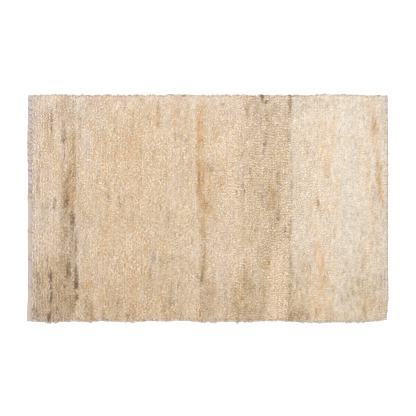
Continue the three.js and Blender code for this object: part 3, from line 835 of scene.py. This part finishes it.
def strands(end, outward, root, tip):
    """A bundle that leaves the last row over some breadth and comes to a ragged point."""
    count = HANGING_STRANDS
    spread = draw.uniform(-1, 1, count)
    x = root[0] - outward * draw.uniform(0, 14, count)
    y = root[1] + spread * 12
    tip_x = tip[0] - outward * np.abs(spread) ** 1.5 * draw.uniform(4, 16, count)
    tip_y = tip[1] + spread * 5 + draw.normal(0, 4, count)
    row = np.full(count, 0 if end == "left" else ROWS - 1)
    return reaching_locks(row, x, y, tip_x, tip_y, np.full(count, 11.0))


# Nodes

def connect(tree, node, inputs):
    """Sets inputs of a node, by name or in order, each to a value or to the output of another node."""
    for socket, value in inputs.items() if isinstance(inputs, dict) else enumerate(inputs):
        if isinstance(value, bpy.types.NodeSocket):
            tree.links.new(value, node.inputs[socket])
        else:
            node.inputs[socket].default_value = value


def add_node(tree, kind, inputs=(), output=0, **settings):
    """Adds a node with its settings and inputs, and gives one of its outputs."""
    node = tree.nodes.new(kind)
    for name, value in settings.items():
        setattr(node, name, value)
    connect(tree, node, inputs)
    return node.outputs[output]


def linear(hex_colour):
    """An sRGB hex colour as linear red, green, blue and alpha."""
    parts = [int(hex_colour[i : i + 2], 16) / 255 for i in (1, 3, 5)]
    curved = [p / 12.92 if p <= 0.04045 else ((p + 0.055) / 1.055) ** 2.4 for p in parts]
    return (*curved, 1.0)


def new_object(name, data):
    item = bpy.data.objects.new(name, data)
    bpy.context.collection.objects.link(item)
    return item


def new_material(name):
    material = bpy.data.materials.new(name)
    material.use_nodes = True
    tree = material.node_tree
    return material, tree, tree.nodes["Principled BSDF"]


# Materials. A Mix node takes its share at 0 and its two colours at 6 and 7, and gives the third output.

def knotted_wool(name, root_stain_and_painted_shade):
    """Long undyed sheep's wool, barely spun, knotted in and brushed open.
    The eye gets a soft matt surface with a pale bloom, painted shade low in the wool, darker and warmer at
    the roots with some stain, and painted shade and highlight along each lock's crimp."""
    material, tree, shader = new_material(name)
    read = {
        key: add_node(tree, "ShaderNodeAttribute", output="Fac", attribute_name=key)
        for key in (*TONES, "chance", "along")
    }
    colour = linear(WOOL["sand"])
    for tone in TONES:
        colours = {0: read[tone], 6: colour, 7: linear(WOOL[tone])}
        colour = add_node(tree, "ShaderNodeMix", colours, 2, data_type="RGBA")
    # Painted shade low in the wool, darker and warmer towards the roots and weaker in the cream, with some
    # of the roots' own stain
    low = add_node(tree, "ShaderNodeMapRange", [read["along"], 0.1, 0.7, 1.0, 0.0])
    pale = add_node(tree, "ShaderNodeMapRange", [read["cream"], 0.2, 0.9, 1.0, 0.4])
    depth = add_node(tree, "ShaderNodeMath", [low, pale], operation="MULTIPLY")
    colours = {0: depth, 6: colour, 7: linear(root_stain_and_painted_shade)}
    colour = add_node(tree, "ShaderNodeMix", colours, 2, data_type="RGBA", blend_type="MULTIPLY")
    # Each lock's own lightness, which also carries the painted shade of the ridge valleys. Dim locks get a
    # warm tint of painted shade, bright ones a cool tint of painted highlight.
    chances = {6: read["chance"], 9: DIMMEST_TONE_AND_SHADE, 10: BRIGHTEST_TONE_AND_HIGHLIGHT}
    each = add_node(tree, "ShaderNodeMapRange", chances, 1, data_type="FLOAT_VECTOR")
    colour = add_node(tree, "ShaderNodeVectorMath", [colour, each], operation="MULTIPLY")
    place = add_node(tree, "ShaderNodeUVMap", uv_map="fibres")
    fibre_noise = {"Vector": place, "Scale": 1.0, "Detail": 3.0, "Roughness": 0.6}
    fibres = add_node(tree, "ShaderNodeTexNoise", fibre_noise, noise_dimensions="2D")
    # Painted shade and highlight of the crimp, in waves of light and dark along each lock
    broad = add_node(tree, "ShaderNodeVectorMath", [place, (0.12, 1.5, 0)], operation="MULTIPLY")
    crimp_noise = {"Vector": broad, "Scale": 1.0, "Detail": 1.0}
    crimp = add_node(tree, "ShaderNodeTexNoise", crimp_noise, noise_dimensions="2D")
    crimp_painted_shade = add_node(tree, "ShaderNodeMapRange", [crimp, 0.28, 0.52, 0.84, 1.03])
    shaded = add_node(tree, "ShaderNodeVectorMath", {0: colour, "Scale": crimp_painted_shade}, operation="SCALE")
    bump = add_node(tree, "ShaderNodeBump", {"Strength": 0.4, "Distance": 0.5 * MM, "Height": fibres})
    soft = {"Roughness": 0.85, "Specular IOR Level": 0.3, "Sheen Weight": 0.25, "Sheen Roughness": 0.5}
    connect(tree, shader, {"Base Color": shaded, "Normal": bump, **soft})
    return material


def woven_wool():
    """Hand-spun wool, weft-faced plain weave: the weft is packed over the warp and hides it.
    The eye gets fine ribs along the rug, one over each warp, crossed by the beaten rows of weft."""
    material, tree, shader = new_material("hand_spun_wool_plain_woven")
    place = add_node(tree, "ShaderNodeTexCoord", output="Object")
    threads = []
    for direction, pitch, uneven, fine in (("Y", WARP_PITCH, 1.2, 0.6), ("X", WEFT_PITCH, 2.0, 0.4)):
        scale = math.pi / (10 * (pitch * MM))  # gives one band of the wave for each thread
        wave = {"Vector": place, "Scale": scale, "Distortion": uneven, "Detail": 2.0, "Detail Scale": fine}
        bands = {"wave_type": "BANDS", "bands_direction": direction, "wave_profile": "SIN"}
        threads.append(add_node(tree, "ShaderNodeTexWave", wave, "Fac", **bands))
    weave = add_node(tree, "ShaderNodeMath", threads, operation="ADD")
    # Clouds about 11 mm wide, where the yarn is a little darker
    mottle = add_node(tree, "ShaderNodeTexNoise", {"Vector": place, "Scale": 90.0, "Detail": 4.0})
    colours = {0: mottle, 6: linear(WEAVE_SHADES[0]), 7: linear(WEAVE_SHADES[1])}
    tint = add_node(tree, "ShaderNodeMix", colours, 2, data_type="RGBA")
    # Painted shade in the grooves, darker where the weave lies low
    groove_painted_shade = add_node(tree, "ShaderNodeMapRange", [weave, 0.0, 1.6, 0.78, 1.0])
    shaded = add_node(tree, "ShaderNodeVectorMath", {0: tint, "Scale": groove_painted_shade}, operation="SCALE")
    bump = add_node(tree, "ShaderNodeBump", {"Strength": 0.6, "Distance": 0.8 * MM, "Height": weave})
    firm = {"Roughness": 0.9, "Specular IOR Level": 0.25, "Sheen Weight": 0.15, "Sheen Roughness": 0.5}
    connect(tree, shader, {"Base Color": shaded, "Normal": bump, **firm})
    return material


# The locks, by Geometry Nodes

def lock_mesh(name, line):
    """A closed lock of three sides along its middle line, with its cell and fibre maps."""
    reach, crown, breadth = LOCK["reach"], LOCK["crown"], LOCK["breadth"]
    centre = [Vector((s * reach, aside, h * crown)) for s, h, aside in line]
    points = []
    for number, share in enumerate(RING_BREADTHS):
        before = centre[max(number - 1, 0)]
        ahead = (centre[number + 1] - before).normalized()
        aside = Vector((0, 0, 1)).cross(ahead)
        aside = aside.normalized() if aside.length > 0.01 else Vector((0, 1, 0))
        up = ahead.cross(aside)
        for corner in range(3):
            angle = math.radians(90 + 120 * corner)
            out = aside * math.cos(angle) + up * math.sin(angle) * RING_THICKNESS
            points.append(centre[number] + out * (share * breadth / 2 / TRIANGLE_HEIGHT))
    points.append(centre[-1])
    faces, along, around = [(0, 2, 1)], [(0.0, 0.06, 0.0)], [(0.0, 0.0, 1.0)]
    low, middle, high = LOCK_STATIONS
    for side in range(3):
        a, b = side, (side + 1) % 3
        left, right = side / 3, (side + 1) / 3
        faces += [(a, b, b + 3), (a, b + 3, a + 3), (a + 3, b + 3, 6)]
        around += [(left, right, right), (left, right, left), (left, right, (left + right) / 2)]
        along += [(low, low, middle), (low, middle, middle), (middle, middle, high)]
    mesh = bpy.data.meshes.new(name)
    mesh.from_pydata([p * MM for p in points], [], faces, shade_flat=False)
    cells = mesh.attributes.new("cell_place", "FLOAT2", "CORNER")
    pairs = [(u, v) for us, vs in zip(around, along) for u, v in zip(us, vs)]
    cells.data.foreach_set("vector", np.array(pairs, dtype=np.float32).ravel())
    add_layer(mesh, "along", "FLOAT", np.repeat((0.0, 0.5, 1.0), (3, 3, 1)))
    return mesh


def lock_collection():
    """The shapes of lock that the tree picks from, in their order."""
    shapes = bpy.data.collections.new("lock_shapes")
    for number, (name, line) in enumerate(LOCK_SHAPES.items()):
        shapes.objects.link(bpy.data.objects.new(f"lock_{number}_{name}", lock_mesh(name, line)))
    return shapes


# What the tree is given, what it reads from each root, and what from each lock's own mesh
TREE_INPUTS = {
    "Roots": "Geometry",
    "Lock shapes": "Collection",
    "Wool": "Material",
    "Comb": "Float",
    "Comb spacing": "Float",
    "Cells a side": "Float",
}
ROOT_LAYERS = {"shape": "INT", "turn": "FLOAT_VECTOR", "size": "FLOAT_VECTOR", "cell": "FLOAT_VECTOR"}
LOCK_LAYERS = {"along": "FLOAT", "cell_place": "FLOAT_VECTOR"}


def pile_tree():
    """Puts a lock on each root, combs the wool a little, and lays out the two maps."""
    tree = bpy.data.node_groups.new("pile_of_locks", "GeometryNodeTree")
    sockets = {
        name: tree.interface.new_socket(name=name, in_out="INPUT", socket_type="NodeSocket" + kind)
        for name, kind in TREE_INPUTS.items()
    }
    tree.interface.new_socket(name="Pile", in_out="OUTPUT", socket_type="NodeSocketGeometry")
    given = tree.nodes.new("NodeGroupInput").outputs
    read = {
        name: add_node(tree, "GeometryNodeInputNamedAttribute", {"Name": name}, "Attribute", data_type=kind)
        for name, kind in {**ROOT_LAYERS, **LOCK_LAYERS}.items()
    }
    position = add_node(tree, "GeometryNodeInputPosition")
    place, cell = read["cell_place"], read["cell"]
    children = {"Collection": given["Lock shapes"], "Separate Children": True, "Reset Children": True}
    shapes = add_node(tree, "GeometryNodeCollectionInfo", children, "Instances")
    on_roots = {
        "Points": given["Roots"],
        "Instance": shapes,
        "Pick Instance": True,
        "Instance Index": read["shape"],
        "Rotation": read["turn"],
        "Scale": read["size"],
    }
    locks = add_node(tree, "GeometryNodeInstanceOnPoints", on_roots)
    real = add_node(tree, "GeometryNodeRealizeInstances", [locks])
    spread = add_node(tree, "ShaderNodeVectorMath", [position, given["Comb spacing"]], operation="DIVIDE")
    random = add_node(tree, "ShaderNodeTexNoise", {"Vector": spread, "Scale": 1.0, "Detail": 2.0}, "Color")
    drift = add_node(tree, "ShaderNodeVectorMath", [random, (0.5, 0.5, 0.5)], operation="SUBTRACT")
    level = add_node(tree, "ShaderNodeVectorMath", [drift, (1.0, 1.0, 0.25)], operation="MULTIPLY")
    by_tip = add_node(tree, "ShaderNodeMath", [read["along"], given["Comb"]], operation="MULTIPLY")
    offset = add_node(tree, "ShaderNodeVectorMath", {0: level, "Scale": by_tip}, operation="SCALE")
    combed = add_node(tree, "GeometryNodeSetPosition", {"Geometry": real, "Offset": offset})
    inside, margin = (1 - 2 * CELL_MARGIN,) * 2 + (0,), (CELL_MARGIN,) * 2 + (0,)
    inner = add_node(tree, "ShaderNodeVectorMath", [place, inside, margin], operation="MULTIPLY_ADD")
    in_atlas = add_node(tree, "ShaderNodeVectorMath", [inner, cell], operation="ADD")
    bake_map = add_node(tree, "ShaderNodeVectorMath", [in_atlas, given["Cells a side"]], operation="DIVIDE")
    on_lock = add_node(tree, "ShaderNodeVectorMath", [place, FIBRES_A_LOCK], operation="MULTIPLY")
    by_cell = [cell, FIBRES_APART, on_lock]
    fibre_map = add_node(tree, "ShaderNodeVectorMath", by_cell, operation="MULTIPLY_ADD")
    mapped = combed
    for name, value in (("OFBake", bake_map), ("fibres", fibre_map)):
        store = {"Geometry": mapped, "Name": name, "Value": value}
        layer = {"data_type": "FLOAT2", "domain": "CORNER"}
        mapped = add_node(tree, "GeometryNodeStoreNamedAttribute", store, **layer)
    finished = add_node(tree, "GeometryNodeSetMaterial", {"Geometry": mapped, "Material": given["Wool"]})
    connect(tree, tree.nodes.new("NodeGroupOutput"), [finished])
    return tree, {name: socket.identifier for name, socket in sockets.items()}


def add_layer(mesh, name, kind, columns):
    """An attribute of the mesh's points, from one array or several."""
    layer = mesh.attributes.new(name, kind, "POINT")
    data = np.stack(columns, 1) if kind == "FLOAT_VECTOR" else columns
    key = "vector" if kind == "FLOAT_VECTOR" else "value"
    layer.data.foreach_set(key, data.astype(np.int32 if kind == "INT" else np.float32).ravel())


def root_mesh(name, table, cells_a_side):
    """One point for each lock, with what the tree and the wool read from it."""
    count = len(table["x"])
    mesh = bpy.data.meshes.new(name)
    places = np.stack([table["x"], table["y"], np.full(count, ROOT_HEIGHT)], 1) * MM
    mesh.from_pydata(places.tolist(), [], [])
    number, flat = np.arange(count), np.zeros(count)
    roll = np.radians(draw.normal(0, LOCK_ROLL, count))
    values = {
        "turn": (roll, flat, table["heading"]),
        "size": [table[key] / LOCK[key] for key in ("reach", "breadth", "crown")],
        "cell": (number % cells_a_side, number // cells_a_side, flat),
        "shape": table["shape"],
    }
    for key, columns in values.items():
        add_layer(mesh, key, ROOT_LAYERS[key], columns)
    for key in ("chance", *TONES):
        add_layer(mesh, key, "FLOAT", table[key])
    return mesh


PILE_ZONES = ("left", "left_middle", "middle", "right_middle", "right")


def make_pile(wool):
    """All the locks, as five pieces from left to right. The wool's shades are read half way along each."""
    parts = [lying_locks(), *edge_locks(), *hanging_locks()]
    locks = {key: np.concatenate([part[key] for part in parts]) for key in parts[0]}
    ahead_x, ahead_y = (locks["reach"] * turn(locks["heading"]) for turn in (np.cos, np.sin))
    shades = shades_at(locks["x"] + 0.5 * ahead_x, locks["y"] + 0.5 * ahead_y)
    tip_x = locks["x"] + ahead_x - MIDDLE[0]
    hanging = (tip_x < LEFT_END - RUG_LENGTH / 2 - 8) | (tip_x > RUG_LENGTH / 2 - 4)
    for tone in TONES:
        locks[tone] = np.where(hanging, HANGING_SHADE.get(tone, 0), shades[tone])
    tree, socket = pile_tree()
    shapes = lock_collection()
    edges = np.linspace(0, ROWS, len(PILE_ZONES) + 1).round().astype(int)
    pieces = []
    for zone, first, after in zip(PILE_ZONES, edges[:-1], edges[1:]):
        chosen = (locks["row"] >= first) & (locks["row"] < after)
        cells_a_side = math.ceil(math.sqrt(chosen.sum()))
        table = {key: values[chosen] for key, values in locks.items()}
        roots = new_object(f"roots_{zone}", root_mesh(f"roots_{zone}", table, cells_a_side))
        modifier = roots.modifiers.new("pile", "NODES")
        modifier.node_group = tree
        given = {
            "Lock shapes": shapes,
            "Wool": wool,
            "Comb": COMB * MM,
            "Comb spacing": COMB_SPACING * MM,
            "Cells a side": float(cells_a_side),
        }
        for name, value in given.items():
            modifier[socket[name]] = value
        pieces.append(realised(roots, f"pile_{zone}"))
    return pieces


def realised(source, name):
    """The evaluated mesh of an object with its modifiers, as a plain object of its own."""
    graph = bpy.context.evaluated_depsgraph_get()
    mesh = bpy.data.meshes.new_from_object(source.evaluated_get(graph), depsgraph=graph)
    mesh.name = name
    bpy.data.objects.remove(source)
    return new_object(name, mesh)


# The woven ground

def spaced(low, high, step):
    """Even steps from low to high, near the given one."""
    return np.linspace(low, high, max(int(round((high - low) / step)), 1) + 1)


def slab_mesh(name, x, y, top, bottom):
    """A closed mesh over a grid of places, between its top and its bottom."""
    points = np.concatenate([np.stack([x, y, z], -1).reshape(-1, 3) for z in (top, bottom)])
    index = np.arange(x.size).reshape(x.shape)
    quads = [index[:-1, :-1], index[1:, :-1], index[1:, 1:], index[:-1, 1:]]
    upper = np.stack(quads, -1).reshape(-1, 4)
    lower = upper[:, ::-1] + index.size
    rim = np.concatenate([index[:-1, 0], index[-1, :-1], index[:0:-1, -1], index[0, :0:-1]])
    after = np.roll(rim, -1)
    wall = np.stack([rim + index.size, after + index.size, after, rim], -1)
    mesh = bpy.data.meshes.new(name)
    faces = np.concatenate([upper, lower, wall])
    mesh.from_pydata((points * MM).tolist(), [], faces.tolist(), shade_flat=False)
    return mesh


def make_ground(weave):
    """A thin closed sheet on the floor, with a firm rounded edge all round."""
    # Shares of the width and the length, closer together near the edge and at the woven ends
    across = np.unique([0, 0.0012, 0.003, *spaced(0.003, 0.997, 0.008), 0.997, 0.9988, 1])
    seen = 1.3 * (LEFT_END / RUG_LENGTH)
    left_end = [0, 0.0008, 0.002, *spaced(0.002, seen, 0.0018)]
    right_end = [*spaced(0.99, 0.998, 0.0018), 0.9992, 1]
    along = np.unique([*left_end, *spaced(seen, 0.99, 0.02), *right_end])
    u, v = np.meshgrid(along, across, indexing="ij")
    middle = -RUG_LENGTH / 2 + u * RUG_LENGTH + MIDDLE[0]
    front, back = woven_line(solid.front, middle), woven_line(solid.back, middle)
    front, back = front + SELVEDGE_INSET, back - SELVEDGE_INSET
    y = front + (back - front) * v
    left, right = side_at(solid.left, y), side_at(solid.right, y)
    x = left + (right - left) * u
    to_edge = np.minimum(np.minimum(x - left, right - x), np.minimum(y - front, back - y))
    bevel = np.clip(to_edge / GROUND_ROUNDING, 0, 1)
    round_edge = np.sqrt(1 - (1 - bevel) ** 2)
    half = GROUND_THICKNESS / 2
    top = half + half * round_edge * (1 + noise("swell of the ground", x, y))
    mesh = slab_mesh("ground", x, y, top, half - half * round_edge)
    mesh.materials.append(weave)
    return new_object("ground", mesh)


# The down between the locks

def make_down(wool):
    """The fine matted wool low in the pile, which fills the rows under the locks."""
    half_rows = np.arange(2 * ROWS + 1)
    middle = FIRST_ROW + (half_rows - 0.5) * ROW_PITCH / 2
    share = np.unique([0, 0.006, 0.016, *spaced(0.03, 0.97, 0.025), 0.984, 0.994, 1])
    x, share = np.meshgrid(middle, share, indexing="ij")
    front, back = between_row_ends(x, DOWN_INSET)
    y = front + (back - front) * share
    height = solid.height(x.ravel(), y.ravel()).reshape(x.shape)
    low = GROUND_THICKNESS - 0.6
    top = np.maximum(height - read_table(LAY, "down", x), low + 0.4)
    mesh = slab_mesh("down", x, y, top, np.full_like(x, low))
    x, y, _ = mesh_places(mesh).T
    # An along of 0 gives the down the full depth colour: painted shade of the deep gaps, with some stain
    values = {**shades_at(x, y), "chance": draw.uniform(0, 1, len(x)), "along": np.zeros(len(x))}
    for name, column in values.items():
        add_layer(mesh, name, "FLOAT", column)
    fibres = mesh.uv_layers.new(name="fibres")
    corners = np.empty(len(mesh.loops), dtype=np.int32)
    mesh.loops.foreach_get("vertex_index", corners)
    places = np.stack([y[corners] / FIBRE_SIZE[0], x[corners] / FIBRE_SIZE[1]], 1)
    fibres.data.foreach_set("uv", places.astype(np.float32).ravel())
    mesh.materials.append(wool)
    return new_object("down", mesh)


# Floor, light and camera, in metres

FLOOR_SIZE = 80.0
FLOOR_DROP = 0.0002
CAMERA_HEIGHT = 8.5
SENSOR_WIDTH = 36
PHOTO_WIDTH = 2.819  # of floor across the picture
PHOTO_MIDDLE = (1.5 * MM, 4.8 * MM)
WHITE = (1, 1, 1, 1)


def make_floor():
    """White matt paper, smooth. The eye gets an even pale ground with a faint shadow at the rug's edge."""
    material, tree, shader = new_material("white_matt_paper_floor")
    paper = {"Base Color": (0.9, 0.9, 0.9, 1), "Roughness": 0.9}
    connect(tree, shader, {**paper, "Emission Color": WHITE, "Emission Strength": 0.35})
    half = FLOOR_SIZE / 2
    mesh = bpy.data.meshes.new("floor")
    corners = [(x * half, y * half, -FLOOR_DROP) for x, y in ((-1, -1), (1, -1), (1, 1), (-1, 1))]
    mesh.from_pydata(corners, [], [(0, 1, 2, 3)])
    mesh.materials.append(material)
    new_object("floor", mesh)


def add_light(name, size, power, place):
    light = bpy.data.lights.new(name, "AREA")
    light.shape = "SQUARE"
    light.size, light.energy = size, power
    lamp = new_object(name, light)
    lamp.location = place
    lamp.rotation_mode = "QUATERNION"
    lamp.rotation_quaternion = (-Vector(place)).to_track_quat("-Z", "Y")


def make_studio():
    """Even soft daylight, a broad key light from the far side and a weak fill from the near one."""
    world = bpy.data.worlds.new("soft_daylight")
    bpy.context.scene.world = world
    world.use_nodes = True
    tree = world.node_tree
    connect(tree, tree.nodes["Background"], {"Color": WHITE, "Strength": 1.30})
    add_light("key", 3.0, 160, (-0.6, 3.6, 3.4))
    add_light("fill", 4.0, 30, (1.5, -3.0, 4.0))
    bpy.context.scene.view_settings.view_transform = "Standard"


def make_camera():
    """Straight above the picture's middle, with the photo's frame."""
    camera = bpy.data.cameras.new("camera")
    camera.sensor_width = SENSOR_WIDTH
    camera.lens = SENSOR_WIDTH * CAMERA_HEIGHT / PHOTO_WIDTH
    camera.clip_end = 100
    stand = new_object("camera", camera)
    stand.location = (*PHOTO_MIDDLE, CAMERA_HEIGHT)
    bpy.context.scene.camera = stand


make_camera()
make_studio()
make_floor()
ground = make_ground(woven_wool())
down = make_down(knotted_wool("undyed_wool_matted", ROOT_STAIN_AND_PAINTED_SHADES["matted"]))
pile = make_pile(knotted_wool("undyed_wool_knotted_and_brushed", ROOT_STAIN_AND_PAINTED_SHADES["knotted"]))

for piece in (ground, down, *pile):
    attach(piece, "root")
    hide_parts("rug")
